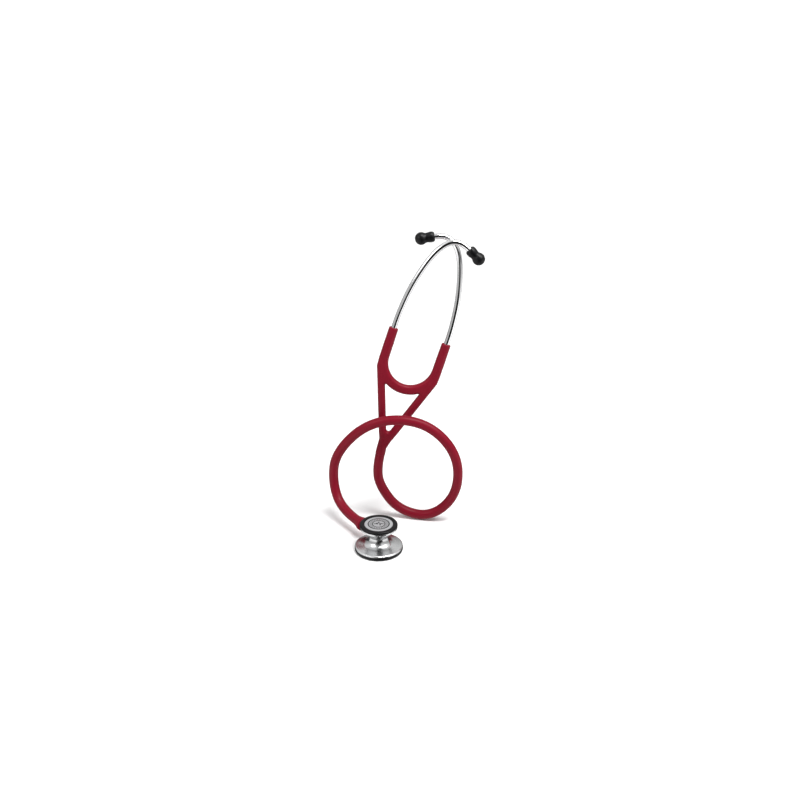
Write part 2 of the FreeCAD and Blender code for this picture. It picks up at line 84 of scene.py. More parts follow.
def finishShape(obj, sharpAngle=35):
    pickOnly(obj)
    bpy.ops.object.mode_set(mode="EDIT")
    bpy.ops.mesh.select_all(action="SELECT")
    bpy.ops.mesh.remove_doubles(threshold=1e-6)
    bpy.ops.mesh.normals_make_consistent(inside=False)
    bpy.ops.object.mode_set(mode="OBJECT")
    bpy.ops.object.shade_smooth_by_angle(angle=math.radians(sharpAngle))


def removeTool(obj):
    bpy.data.objects.remove(obj, do_unlink=True)


# Corner points (x, z, radius) as a line with each corner rounded
def filleted(points, steps=5):
    line = []
    for i, point in enumerate(points):
        radius = point[2] if len(point) > 2 else 0
        corner = Vector(point[:2])
        if not radius or i in (0, len(points) - 1):
            line.append(tuple(corner))
            continue
        back = Vector(points[i - 1][:2]) - corner
        ahead = Vector(points[i + 1][:2]) - corner
        halfAngle = back.angle(ahead) / 2
        cut = min(radius / math.tan(halfAngle), back.length * 0.48, ahead.length * 0.48)
        radius = cut * math.tan(halfAngle)
        middle = corner + (back.normalized() + ahead.normalized()).normalized() * (radius / math.sin(halfAngle))
        first = corner + back.normalized() * cut - middle
        last = corner + ahead.normalized() * cut - middle
        turn = first.angle_signed(last)
        for step in range(steps + 1):
            angle = -turn * step / steps
            spot = Matrix.Rotation(angle, 2) @ first + middle
            line.append(tuple(spot))
    return line


def arc(centre, radius, start, end, steps):
    angles = [math.radians(start + (end - start) * i / steps) for i in range(steps + 1)]
    return [(centre[0] + radius * math.cos(a), centre[1] + radius * math.sin(a)) for a in angles]


# A turned form about Z: one ring extruded and resized along the outline, in millimetres
def turnedShape(name, outline, sides=96, closed=False):
    freshStart()
    radius, height = outline[0]
    startsAtAxis = radius < 1e-6
    if startsAtAxis:
        radius, height = outline[1]
    bpy.ops.mesh.primitive_circle_add(vertices=sides, radius=radius * mm, location=(0, 0, height * mm),
                                      fill_type="TRIFAN" if startsAtAxis else "NOTHING")
    obj = bpy.context.object
    obj.name = name
    bpy.ops.object.transform_apply(location=True, rotation=True, scale=True)
    bpy.ops.object.mode_set(mode="EDIT")
    bpy.ops.mesh.select_mode(type="EDGE")
    bpy.ops.mesh.select_all(action="DESELECT")
    bpy.ops.mesh.select_non_manifold()
    rest = outline[2:] if startsAtAxis else outline[1:]
    if closed:
        rest = rest + [outline[0]]
    for nextRadius, nextHeight in rest:
        bpy.ops.mesh.extrude_region_move(TRANSFORM_OT_translate={"value": (0, 0, (nextHeight - height) * mm)})
        if nextRadius < 1e-6:
            bpy.ops.mesh.merge(type="CENTER")
        else:
            bpy.ops.transform.resize(value=(nextRadius / radius, nextRadius / radius, 1))
            radius = nextRadius
        height = nextHeight
    finishShape(obj)
    return obj


# A smooth round line along a route, in metres
def addRoute(name, points, radius, roundness, resolution):
    curve = bpy.data.curves.new(name, "CURVE")
    curve.dimensions = "3D"
    spline = curve.splines.new("NURBS")
    spline.points.add(len(points) - 1)
    for spot, place in zip(spline.points, points):
        spot.co = (*place, 1)
    spline.order_u = 3
    spline.use_endpoint_u = True
    spline.resolution_u = resolution
    curve.resolution_u = resolution
    curve.bevel_depth = radius
    curve.bevel_resolution = roundness
    curve.use_fill_caps = True
    obj = bpy.data.objects.new(name, curve)
    scene.collection.objects.link(obj)
    return obj


# Studio: camera, floor and lights

studio = {
    "cameraPlace": (0.01955, -0.77145, 0.46353),
    "cameraTilt": 67.822,
    "lens": 43.2,
    "sensorWidth": 36,
    "aim": (0, 0.04, 0.1),
    "floorSize": 12.0,
    "wallHeight": 5.0,
    "wallRound": 2.0,
    "skyTilt": (14.0, 12.0),
    "skySoftness": 22.0,
    "skyPower": 2.35,
    "keyPlace": (0.50, -0.15, 0.75),
    "keySize": 0.35,
    "keyPower": 3.6,
    "fillPlace": (-0.55, -0.25, 0.6),
    "fillSize": 0.4,
    "fillPower": 1.6,
    "worldLight": 0.36,
    "mirrorAbove": ((0.0, 0.40), (0.35, 0.62), (0.6, 1.0), (1.0, 0.8)),
    "mirrorBelow": ((0.0, 0.40), (0.3, 0.95), (1.0, 0.9)),
    "aroundAbove": ((0.0, 0.8), (0.25, 1.1), (0.40, 1.2), (0.425, 0.02), (0.555, 0.02), (0.58, 1.2),
                    (0.75, 1.1), (1.0, 0.8)),
    "aroundBelow": ((0.0, 0.03), (0.13, 0.05), (0.17, 1.3), (0.43, 1.6), (0.45, 0.003), (0.625, 0.003),
                    (0.64, 1.6), (0.83, 1.3), (0.87, 0.05), (1.0, 0.03)),
}


def addArea(name, place, target, size, power):
    freshStart()
    bpy.ops.object.light_add(type="AREA", location=place)
    light = bpy.context.object
    light.name = name
    light.data.size = size
    light.data.energy = power
    light.rotation_euler = (Vector(target) - Vector(place)).to_track_quat("-Z", "Y").to_euler()
    return light


def buildStudio(s):
    freshStart()
    bpy.ops.object.camera_add(location=s["cameraPlace"], rotation=(math.radians(s["cameraTilt"]), 0, 0))
    camera = bpy.context.object
    camera.data.lens = s["lens"]
    camera.data.sensor_width = s["sensorWidth"]
    camera.data.clip_start = 0.01
    scene.camera = camera

    freshStart()
    bpy.ops.mesh.primitive_plane_add(size=s["floorSize"], location=(0, 0, 0))
    floor = bpy.context.object
    floor.name = "floor"
    half = s["floorSize"] / 2
    for edge in floor.data.edges:
        edge.select = all(floor.data.vertices[i].co.y > half - 0.01 for i in edge.vertices)
    for vertex in floor.data.vertices:
        vertex.select = vertex.co.y > half - 0.01
    for face in floor.data.polygons:
        face.select = False
    bpy.ops.object.mode_set(mode="EDIT")
    bpy.ops.mesh.select_mode(type="EDGE")
    bpy.ops.mesh.extrude_region_move(TRANSFORM_OT_translate={"value": (0, 0, s["wallHeight"])})
    bpy.ops.object.mode_set(mode="OBJECT")
    for vertex in floor.data.vertices:
        vertex.select = vertex.co.y > half - 0.01 and vertex.co.z < 0.01
    for edge in floor.data.edges:
        edge.select = all(floor.data.vertices[i].select for i in edge.vertices)
    for face in floor.data.polygons:
        face.select = False
    bpy.ops.object.mode_set(mode="EDIT")
    bpy.ops.mesh.bevel(offset=s["wallRound"], segments=12, affect="EDGES")
    bpy.ops.object.mode_set(mode="OBJECT")
    bpy.ops.object.shade_smooth()
    floor.visible_glossy = False
    freshStart()
    bpy.ops.object.light_add(type="SUN", rotation=[math.radians(a) for a in s["skyTilt"]] + [0])
    sky = bpy.context.object
    sky.name = "skyLight"
    sky.data.energy = s["skyPower"]
    sky.data.angle = math.radians(s["skySoftness"])
    addArea("keyLight", s["keyPlace"], s["aim"], s["keySize"], s["keyPower"])
    addArea("fillLight", s["fillPlace"], s["aim"], s["fillSize"], s["fillPower"])
    return floor


floor = buildStudio(studio)
print("studio ready")


# Node tools

def startMaterial(name, **shaderValues):
    material = bpy.data.materials.new(name)
    material.use_nodes = True
    tree = material.node_tree
    shader = tree.nodes["Principled BSDF"]
    for socket, value in shaderValues.items():
        shader.inputs[socket.replace("_", " ")].default_value = value
    coords = tree.nodes.new("ShaderNodeTexCoord").outputs["Object"]
    return material, tree, shader, coords


# Adds a node; an input is a value or another node's output
def put(tree, kind, inputs=None, **settings):
    node = tree.nodes.new("ShaderNode" + kind)
    for key, value in settings.items():
        setattr(node, key, value)
    for key, value in (inputs or {}).items():
        if isinstance(value, bpy.types.NodeSocket):
            tree.links.new(value, node.inputs[key])
        else:
            node.inputs[key].default_value = value
    return node


def calc(tree, operation, a, b=0.0):
    return put(tree, "Math", {0: a, 1: b}, operation=operation).outputs[0]


def noise(tree, vector, scale, detail=2.0, **more):
    return put(tree, "TexNoise", {"Vector": vector, "Scale": scale, "Detail": detail, **more}).outputs["Fac"]


def blendColours(tree, factor, first, second):
    node = put(tree, "Mix", data_type="RGBA")
    for index, value in ((0, factor), (6, first), (7, second)):
        if isinstance(value, bpy.types.NodeSocket):
            tree.links.new(value, node.inputs[index])
        else:
            node.inputs[index].default_value = value
    return node.outputs[2]


def spread(tree, value, low, high):
    return put(tree, "MapRange", {"Value": value, "From Min": 0.3, "From Max": 0.7,
                                  "To Min": low, "To Max": high}).outputs[0]


def addBump(tree, shader, height, strength, distance):
    bump = put(tree, "Bump", {"Height": height, "Strength": strength, "Distance": distance})
    tree.links.new(bump.outputs["Normal"], shader.inputs["Normal"])
    return bump


def feed(tree, shader, **sockets):
    for socket, output in sockets.items():
        tree.links.new(output, shader.inputs[socket.replace("_", " ")])


# Placements shared by several pieces

headset = {"foot": (0.5, 62.0, 68.0), "lean": 18.0, "recline": 5.0, "armSpacing": 51.0, "pivotHeight": 94.6}
stemAxis = {"height": 14.0, "heading": 126.0}

headsetPlace = (Matrix.Translation(Vector(headset["foot"]) * mm)
                @ Matrix.Rotation(math.radians(-headset["recline"]), 4, "X")
                @ Matrix.Rotation(math.radians(headset["lean"]), 4, "Y"))
stemPlace = (Matrix.Translation((0, 0, stemAxis["height"] * mm))
             @ Matrix.Rotation(math.radians(stemAxis["heading"]), 4, "Z")
             @ Matrix.Rotation(math.radians(90), 4, "Y"))


# Finishes

def makeBurgundy():
    material, tree, shader, coords = startMaterial(
        "burgundyPvc", Coat_Weight=0.06, Coat_Roughness=0.28, Specular_IOR_Level=0.1)
    broad = noise(tree, coords, 45.0, 3.0)
    grain = noise(tree, coords, 2600.0, 2.0)
    colour = blendColours(tree, broad, (0.150, 0.0022, 0.0115, 1), (0.190, 0.0036, 0.0155, 1))
    speckle = blendColours(tree, spread(tree, grain, 0.0, 0.35), colour, (0.24, 0.008, 0.022, 1))
    feed(tree, shader, Base_Color=speckle, Roughness=spread(tree, noise(tree, coords, 260.0), 0.38, 0.52))
    addBump(tree, shader, grain, 0.3, 0.00004)
    return material


# Fine rings left by the lathe, about the axis of placement
def makeTurnedSteel(name, placement, tone, roughness, grooves):
    material, tree, shader, coords = startMaterial(name, Metallic=1.0, Anisotropic=0.4)
    turn = placement.inverted()
    local = put(tree, "Mapping", {"Vector": coords, "Location": turn.to_translation(),
                                  "Rotation": turn.to_euler()}).outputs[0]
    parts = put(tree, "SeparateXYZ", {0: local}).outputs
    radius = calc(tree, "SQRT", calc(tree, "ADD", calc(tree, "MULTIPLY", parts[0], parts[0]),
                                     calc(tree, "MULTIPLY", parts[1], parts[1])))
    around = put(tree, "CombineXYZ", {0: radius, 1: parts[2], 2: 0.0}).outputs[0]
    rings = noise(tree, around, grooves, 3.0)
    smudge = noise(tree, coords, 140.0, 3.0)
    dark = tuple(t * 0.86 for t in tone[:3]) + (1,)
    feed(tree, shader, Base_Color=blendColours(tree, spread(tree, rings, 0.0, 1.0), dark, tone),
         Roughness=calc(tree, "ADD", spread(tree, rings, roughness, roughness + 0.1),
                        spread(tree, smudge, 0.0, 0.06)))
    addBump(tree, shader, rings, 0.25, 0.00003)
    tangent = put(tree, "Tangent", direction_type="RADIAL", axis="Z")
    tree.links.new(tangent.outputs[0], shader.inputs["Tangent"])
    return material


# Drawn or rolled metal with faint lines along its length
def makeDrawnMetal(name, tone, roughness, stretch):
    material, tree, shader, coords = startMaterial(name, Metallic=1.0)
    local = put(tree, "Mapping", {"Vector": coords, "Scale": stretch}).outputs[0]
    lines = noise(tree, local, 1800.0, 2.0)
    cloud = noise(tree, coords, 90.0, 3.0)
    dark = tuple(t * 0.9 for t in tone[:3]) + (1,)
    feed(tree, shader, Base_Color=blendColours(tree, cloud, dark, tone),
         Roughness=calc(tree, "ADD", spread(tree, lines, roughness, roughness + 0.05),
                        spread(tree, cloud, 0.0, 0.03)))
    addBump(tree, shader, lines, 0.08, 0.00002)
    return material


def makeRubber(name, tone, roughness, grainSize, coat):
    material, tree, shader, coords = startMaterial(name, Coat_Weight=coat, Coat_Roughness=0.3,
                                                   Specular_IOR_Level=0.14)
    grain = noise(tree, coords, grainSize, 3.0)
    cloud = noise(tree, coords, 220.0, 3.0)
    pale = tuple(t * 1.8 for t in tone[:3]) + (1,)
    feed(tree, shader, Base_Color=blendColours(tree, spread(tree, cloud, 0.0, 1.0), tone, pale),
         Roughness=spread(tree, cloud, roughness, roughness + 0.12))
    addBump(tree, shader, grain, 0.25, 0.00004)
    return material


# Resin sheet with the weave of its glass cloth showing faintly
def makeSheet():
    material, tree, shader, coords = startMaterial("diaphragmSheet", Specular_IOR_Level=0.5)
    parts = put(tree, "SeparateXYZ", {0: coords}).outputs
    across = calc(tree, "SINE", calc(tree, "MULTIPLY", parts[0], 9000.0))
    along = calc(tree, "SINE", calc(tree, "MULTIPLY", parts[1], 9000.0))
    weave = calc(tree, "MULTIPLY", across, along)
    cloud = noise(tree, coords, 160.0, 3.0)
    threads = put(tree, "MapRange", {"Value": weave, "From Min": -1.0, "To Min": 0.25, "To Max": 0.75}).outputs[0]
    colour = blendColours(tree, threads, (0.42, 0.44, 0.45, 1), (0.54, 0.56, 0.57, 1))
    feed(tree, shader, Base_Color=blendColours(tree, spread(tree, cloud, 0.0, 0.3), colour, (0.62, 0.62, 0.6, 1)),
         Roughness=spread(tree, cloud, 0.28, 0.4))
    addBump(tree, shader, weave, 0.2, 0.00003)
    return material


dial = {"rings": ((9.6, 0.6), (5.8, 0.45)), "tickFrom": 6.6, "tickTo": 8.5,
        "tickCount": 30, "tickShare": 0.42}


# Silver face with printed rings and a ring of ticks
def makeDial(d):
    material, tree, shader, coords = startMaterial("printedDiaphragm", Specular_IOR_Level=0.5, Metallic=0.35)
    parts = put(tree, "SeparateXYZ", {0: coords}).outputs
    radius = calc(tree, "MULTIPLY", calc(tree, "SQRT", calc(
        tree, "ADD", calc(tree, "MULTIPLY", parts[0], parts[0]), calc(tree, "MULTIPLY", parts[1], parts[1]))), 1000.0)
    angle = calc(tree, "DIVIDE", calc(tree, "ARCTAN2", parts[1], parts[0]), 2 * math.pi)
    ink = None
    for ring, width in d["rings"]:
        line = calc(tree, "LESS_THAN", calc(tree, "ABSOLUTE", calc(tree, "SUBTRACT", radius, ring)), width)
        ink = line if ink is None else calc(tree, "MAXIMUM", ink, line)
    tick = calc(tree, "LESS_THAN", calc(tree, "FRACT", calc(tree, "MULTIPLY", angle, float(d["tickCount"]))),
                d["tickShare"])
    tick = calc(tree, "MULTIPLY", tick, calc(tree, "GREATER_THAN", radius, d["tickFrom"]))
    tick = calc(tree, "MULTIPLY", tick, calc(tree, "LESS_THAN", radius, d["tickTo"]))
    ink = calc(tree, "MAXIMUM", ink, calc(tree, "MULTIPLY", tick, 0.9))
    spun = put(tree, "CombineXYZ", {0: radius, 1: 0.0, 2: 0.0}).outputs[0]
    lathe = noise(tree, spun, 9.0, 3.0)
    silver = blendColours(tree, spread(tree, lathe, 0.0, 1.0), (0.36, 0.37, 0.38, 1), (0.46, 0.47, 0.48, 1))
    feed(tree, shader, Base_Color=blendColours(tree, ink, silver, (0.006, 0.006, 0.007, 1)),
         Roughness=spread(tree, lathe, 0.3, 0.42))
    addBump(tree, shader, lathe, 0.1, 0.00003)
    return material


def makePaper():
    material, tree, shader, coords = startMaterial("studioWhite", Roughness=0.9, Specular_IOR_Level=0.0)
    cloud = noise(tree, coords, 3.0)
    feed(tree, shader, Base_Color=blendColours(tree, cloud, (0.93, 0.93, 0.93, 1), (0.95, 0.95, 0.95, 1)))
    return material


atOrigin = Matrix.Identity(4)
finishes = {
    "burgundy": makeBurgundy(),
    "turnedSteel": makeTurnedSteel("turnedSteel", atOrigin, (0.66, 0.665, 0.67, 1), 0.13, 5200.0),
    "polishedSteel": makeTurnedSteel("polishedSteel", stemPlace, (0.66, 0.665, 0.67, 1), 0.12, 4200.0),
    "springSteel": makeDrawnMetal("springSteel", (0.40, 0.40, 0.41, 1), 0.3, (1, 1, 0.15)),
    "eartube": makeDrawnMetal("eartubeAlloy", (0.88, 0.88, 0.89, 1), 0.025, (1, 1, 0.08)),
    "blackRim": makeRubber("blackRim", (0.003, 0.003, 0.0034, 1), 0.32, 1800.0, 0.08),
    "softBlack": makeRubber("softBlack", (0.002, 0.002, 0.0024, 1), 0.36, 1300.0, 0.14),
    "seal": makeRubber("sealRubber", (0.03, 0.02, 0.016, 1), 0.55, 2200.0, 0.0),
    "sheet": makeSheet(),
    "dial": makeDial(dial),
    "insert": makeRubber("tipInsert", (0.10, 0.10, 0.11, 1), 0.45, 1500.0, 0.1),
    "ink": makeRubber("printInk", (0.02, 0.02, 0.022, 1), 0.4, 2500.0, 0.0),
    "paper": makePaper(),
}


def dress(obj, finish):
    obj.data.materials.clear()
    obj.data.materials.append(finishes[finish])


dress(floor, "paper")
cadFinishes = {
    "burgundy": ["main_tube", "tube_cuff", "yoke_body", "left_arm_sleeve", "right_arm_sleeve"],
    "turnedSteel": ["chest_body"],
    "polishedSteel": ["valve_stem"],
    "springSteel": ["retaining_ring", "detent_ball", "detent_spring", "leaf_spring"],
    "eartube": ["left_eartube", "right_eartube"],
    "blackRim": ["large_rim", "small_rim"],
    "softBlack": ["left_eartip", "right_eartip"],
    "seal": ["stem_seal"],
    "sheet": ["large_diaphragm"],
    "dial": ["small_diaphragm"],
    "insert": ["left_eartip_core", "right_eartip_core"],
}
for finish, nodeNames in cadFinishes.items():
    for nodeName in nodeNames:
        dress(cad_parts[nodeName], finish)
print("finishes ready")


# Paints a finished piece and lets it ride on its body in place of CAD nodes
def settle(obj, finish, body, slot, *nodes):
    dress(obj, finish)
    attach(obj, body)
    if nodes:
        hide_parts(*nodes)
    return obj


# Tube

tube = {
    "diameter": 9.2,
    "length": 0.4026,
    "route": [(0.5, 62.0, 68.0), (-2.5, 61.0, 54.0), (-0.5, 62.0, 35.0), (17.0, 62.0, 8.0), (49.5, 55.0, 2.5),
              (75.0, 48.0, 31.6), (74.0, 42.5, 78.0), (41.5, 45.5, 110.3), (-7.6, 50.5, 108.2),
              (-43.0, 64.0, 68.5), (-46.0, 64.5, 34.0), (-36.149, 49.755, 14.0), (-20.866, 28.720, 14.0)],
}

mainTube = addRoute("mainTube", [Vector(p) * mm for p in tube["route"]], tube["diameter"] / 2 * mm, 10, 24)
settle(mainTube, "burgundy", "tubing", "burgundy_pvc", "main_tube")
print("tube laid")


# Cuff: the flared end of the tube over the stem

cuff = {"start": 25.5, "band": 28.2, "end": 35.5, "radius": 6.4, "endRadius": 4.85, "stemHole": 3.2}


def buildCuff(c):
    outline = filleted([
        (c["stemHole"], c["start"] + 0.6), (c["stemHole"] + 0.5, c["start"]), (c["radius"], c["start"], 0.9),
        (c["radius"], c["band"], 3.0), (c["radius"] - 0.75, c["band"] + 2.4, 3.0),
        (c["endRadius"] + 0.15, c["end"] - 1.6, 4.0), (c["endRadius"], c["end"], 0.2),
        (c["stemHole"], c["end"])])
    obj = turnedShape("tubeCuff", outline, closed=True)
    placeAndApply(obj, stemPlace)
    return settle(obj, "burgundy", "tubing", "burgundy_pvc", "tube_cuff")


buildCuff(cuff)
print("cuff ready")


# Yoke and arms: one moulding; the real one bends at the two knuckles

yoke = {
    "thickness": 8.2, "edgeRound": 2.9, "edgeSteps": 6, "plateStart": 5.0,
    "plateStartHalf": 3.3, "throat": (5.3, 14.0, 40),
    "footRadius": 4.85, "footTopRadius": 4.2, "footLength": 21.0, "footWay": (3.0, 1.0, 14.0),
    "uRadius": 21.0, "uDepth": 21.5, "barHeight": 8.9, "legWidth": 7.2,
    "knuckleRadius": 4.5, "crotch": (9.3, 24.5), "shoulder": (29.6, 83.0),
    "windowFoot": 2.2, "windowCorner": 1.7,
    "armRadius": 4.6, "armTopRadius": 4.35, "armTop": 122.0,
    "socketRadius": 2.54, "socketFloor": 102.3,
    "voxel": 0.42, "softening": 8,
    "bendFrom": -13.0, "bendTo": 7.0,
}


# The right half of the flat yoke, once round, starting at the middle of its foot
def yokeHalfOutline(y):
    pivot, height = headset["armSpacing"] / 2, headset["pivotHeight"]
    slope = (y["shoulder"][0] - y["crotch"][0]) / (y["shoulder"][1] - y["crotch"][1])
    lean = math.atan(slope)
    legAcross = y["legWidth"] / math.cos(lean)
    apex = y["crotch"][1] - (y["crotch"][0] - legAcross) / slope
    outer = filleted([(0, y["plateStart"]), (y["plateStartHalf"], y["plateStart"]), y["throat"], (*y["crotch"], 30),
                      (*y["shoulder"], 4), (pivot + y["knuckleRadius"], height - 3.0, 3),
                      (pivot + y["knuckleRadius"], height)])
    knuckle = arc((pivot, height), y["knuckleRadius"], 0, 180, 12)[1:]
    deeper = y["uDepth"] / y["uRadius"]
    inside = [(x, height + (z - height) * deeper) for x, z in arc((0, height), y["uRadius"], 0, -90, 28)[1:]]
    barRadius = y["uDepth"] + y["barHeight"]
    top = arc((0, height), barRadius, -90, -56, 14)
    edge = [p for p in top if p[0] < p[1] * slope - apex * slope - 2.4]
    cornerHeight = edge[-1][1] + 2.2
    while (cornerHeight - apex) * slope > math.sqrt(barRadius ** 2 - (height - cornerHeight) ** 2):
        cornerHeight += 0.02
    corner = ((cornerHeight - apex) * slope, cornerHeight, y["windowCorner"])
    footMiddle = apex + y["windowFoot"] / math.sin(lean)
    foot = arc((0, footMiddle), y["windowFoot"], -math.degrees(lean), -90, 6)
    window = edge[:-1] + filleted([edge[-1], corner, foot[0]]) + foot[1:]
    return outer + knuckle + inside + window


# Traces an outline vertex by vertex, fills it and gives it its thickness
def tracedPlate(name, outline, thickness):
    freshStart()
    bpy.ops.mesh.primitive_plane_add(size=1 * mm)
    obj = bpy.context.object
    obj.name = name
    bpy.ops.object.mode_set(mode="EDIT")
    bpy.ops.mesh.select_mode(type="VERT")
    bpy.ops.mesh.select_all(action="SELECT")
    bpy.ops.mesh.merge(type="CENTER")
    x, z = outline[0]
    bpy.ops.transform.translate(value=(x * mm, -thickness / 2 * mm, z * mm))
    for nextX, nextZ in outline[1:]:
        bpy.ops.mesh.extrude_region_move(
            TRANSFORM_OT_translate={"value": ((nextX - x) * mm, 0, (nextZ - z) * mm)})
        x, z = nextX, nextZ
    bpy.ops.mesh.select_all(action="SELECT")
    bpy.ops.mesh.edge_face_add()
    bpy.ops.mesh.extrude_region_move(TRANSFORM_OT_translate={"value": (0, thickness * mm, 0)})
    bpy.ops.object.mode_set(mode="OBJECT")
    return obj


# Selects the faces or edges whose corner points all pass the test
def selectWhere(obj, kind, test):
    leaveEditMode()
    mesh = obj.data
    for part in (mesh.polygons, mesh.edges, mesh.vertices):
        for element in part:
            element.select = False
    for element in getattr(mesh, kind):
        element.select = test([mesh.vertices[i].co for i in element.vertices])
    pickOnly(obj)
    bpy.ops.object.mode_set(mode="EDIT")
    bpy.ops.mesh.select_mode(type={"polygons": "FACE", "edges": "EDGE"}[kind])


def buildYoke(y):
    pivot, height = headset["armSpacing"] / 2, headset["pivotHeight"]
    half = y["thickness"] / 2 * mm
    tiny = 1e-6
    plate = tracedPlate("yokePlate", yokeHalfOutline(y), y["thickness"])
    selectWhere(plate, "polygons", lambda cs: all(abs(c.x) < tiny for c in cs))
    bpy.ops.mesh.delete(type="FACE")
    leaveEditMode()
    applyModifier(plate, "MIRROR", use_axis=(True, False, False), use_clip=True, merge_threshold=0.00001)
    finishShape(plate)
    selectWhere(plate, "edges", lambda cs: all(abs(abs(c.y) - half) < tiny for c in cs)
                and abs(cs[0].y - cs[1].y) < tiny and max(abs(c.x) for c in cs) > tiny)
    bpy.ops.mesh.bevel(offset=y["edgeRound"] * mm, segments=y["edgeSteps"], affect="EDGES", clamp_overlap=False)
    leaveEditMode()

    upward = headsetPlace.inverted().to_3x3() @ Vector(y["footWay"]).normalized()
    footOutline = [(0, 0), (y["footRadius"] - 0.2, 0), (y["footRadius"], 0.4), (y["footTopRadius"] + 0.45, 7.0),
                   (y["footTopRadius"], 15.0), (y["footTopRadius"] - 1.6, y["footLength"]), (0, y["footLength"])]
    foot = turnedShape("yokeFoot", footOutline, sides=48)
    placeAndApply(foot, upward.to_track_quat("Z", "Y").to_matrix().to_4x4())
    parts = [plate, foot]
    armOutline = filleted([(0, height - 8), (3.6, height - 8), (y["armRadius"] - 0.1, height - 1, 8),
                           (y["armRadius"], height + 6, 20), (y["armTopRadius"], y["armTop"] - 0.5),
                           (y["armTopRadius"] - 0.35, y["armTop"]), (0, y["armTop"])])
    for side in (-1, 1):
        arm = turnedShape("arm", armOutline, sides=48)
        placeAndApply(arm, Matrix.Translation((side * pivot * mm, 0, 0)))
        parts.append(arm)
    pickOnly(*parts)
    bpy.ops.object.join()
    applyModifier(plate, "REMESH", mode="VOXEL", voxel_size=y["voxel"] * mm)
    applyModifier(plate, "SMOOTH", factor=0.5, iterations=y["softening"])

    drillEnd = y["armTop"] + 0.3
    drillOutline = [(0, y["socketFloor"]), (y["socketRadius"], y["socketFloor"]),
                    (y["socketRadius"], y["armTop"] - 0.5), (y["socketRadius"] + 0.6, drillEnd), (0, drillEnd)]
    for side in (-1, 1):
        drill = turnedShape("drill", drillOutline, sides=48)
        placeAndApply(drill, Matrix.Translation((side * pivot * mm, 0, 0)))
        applyModifier(plate, "BOOLEAN", operation="DIFFERENCE", solver="EXACT", object=drill)
        removeTool(drill)
    return plate


# Cuts the moulding at its middle into a left and a right half, one for each arm
def splitYoke(moulding):
    for side, name in ((-1, "left"), (1, "right")):
        halfPiece = moulding.copy()
        halfPiece.data = moulding.data.copy()
        halfPiece.name = name + "YokeAndArm"
        scene.collection.objects.link(halfPiece)
        pickOnly(halfPiece)
        bpy.ops.object.mode_set(mode="EDIT")
        bpy.ops.mesh.select_all(action="SELECT")
        bpy.ops.mesh.bisect(plane_co=(0, 0, 0), plane_no=(side, 0, 0), use_fill=True, clear_inner=True)
        leaveEditMode()
        finishShape(halfPiece, 50)
        placeAndApply(halfPiece, headsetPlace)
        dress(halfPiece, "burgundy")
        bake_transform(halfPiece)
        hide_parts(name + "_arm_sleeve", *(["yoke_body"] if side < 0 else []))
    removeTool(moulding)


splitYoke(buildYoke(yoke))
print("yoke and arms moulded")


# Eartubes

eartube = {
    "radius": 2.5, "foot": 102.3, "straightTo": 119.0, "top": 122.0, "offset": 6.0, "endRun": 8.0, "slope": 27.0,
    "route": [(15.0, -1.0, 0.0), (44.0, -0.88, 0.3), (74.5, -0.555, 0.85), (89.5, -0.18, 1.0),
              (93.4, 0.2, 1.0), (91.0, 0.56, 1.0)],
}


def tipDirection(side):
    slope = math.radians(eartube["slope"])
    return Vector((-side * math.cos(slope), 0, -math.sin(slope)))


def eartubeRoute(side):
    pivot = headset["armSpacing"] / 2
    points = [Vector((side * pivot, 0, eartube["foot"])), Vector((side * pivot, 0, eartube["straightTo"]))]
    for height, across, share in eartube["route"]:
        points.append(Vector((-side * pivot * across, side * eartube["offset"] * share, eartube["top"] + height)))
    points.append(points[-1] + tipDirection(side) * eartube["endRun"])
    return points


def buildEartube(side, name):
    obj = addRoute(name + "Eartube", [headsetPlace @ (p * mm) for p in eartubeRoute(side)],
                   eartube["radius"] * mm, 7, 20)
    pickOnly(obj)
    bpy.ops.object.convert(target="MESH")
    obj = bpy.context.object
    finishShape(obj, 50)
    return settle(obj, "eartube", name + "_arm", "eartube_alloy", name + "_eartube")


# Ear tips

eartip = {"length": 18.0, "ball": 5.75, "base": 4.35, "bulge": 4.85, "waist": 4.3, "boreRadius": 1.5,
          "socket": 2.55, "socketDepth": 1.6, "engagement": 6.0}


# From the open base, over the bulge and the waist, round the ball and into its sound hole
def tipOutline(t):
    ballMiddle = t["length"] - t["ball"]
    base = [(t["socket"], t["socketDepth"]), (t["socket"], 0.3), (t["socket"] + 0.25, 0.0), (t["base"] - 0.9, 0.05),
            (t["base"] - 0.25, 0.5), (t["base"] + 0.2, 1.3), (t["bulge"] - 0.05, 2.4), (t["bulge"], 3.4),
            (t["bulge"] - 0.08, 4.5), (t["bulge"] - 0.3, 5.7), (t["waist"] + 0.05, 6.9), (t["waist"], 7.6),
            (t["waist"] + 0.12, 8.2)]
    ball = []
    for step in range(15):
        angle = math.radians(-36 + (74 + 36) * step / 14)
        ball.append((t["ball"] * math.cos(angle), ballMiddle + t["ball"] * math.sin(angle)))
    end = ball[-1][1]
    holeFloor = end - 2.5
    hole = [(t["boreRadius"] + 0.02, end + 0.02), (t["boreRadius"] - 0.1, end - 0.35),
            (t["boreRadius"] - 0.15, holeFloor), (0, holeFloor)]
    return base + ball + hole


def buildEartip(side, name):
    axis = tipDirection(side)
    start = eartubeRoute(side)[-1] - axis * eartip["engagement"]
    obj = turnedShape(name + "Eartip", [(0, eartip["socketDepth"])] + tipOutline(eartip), sides=64)
    placement = headsetPlace @ Matrix.Translation(start * mm) @ axis.to_track_quat("Z", "Y").to_matrix().to_4x4()
    placeAndApply(obj, placement)
    return settle(obj, "softBlack", name + "_tip", "soft_black", name + "_eartip")


for side, name in ((-1, "left"), (1, "right")):
    buildEartube(side, name)
    buildEartip(side, name)
print("eartubes and tips ready")


# Chestpiece

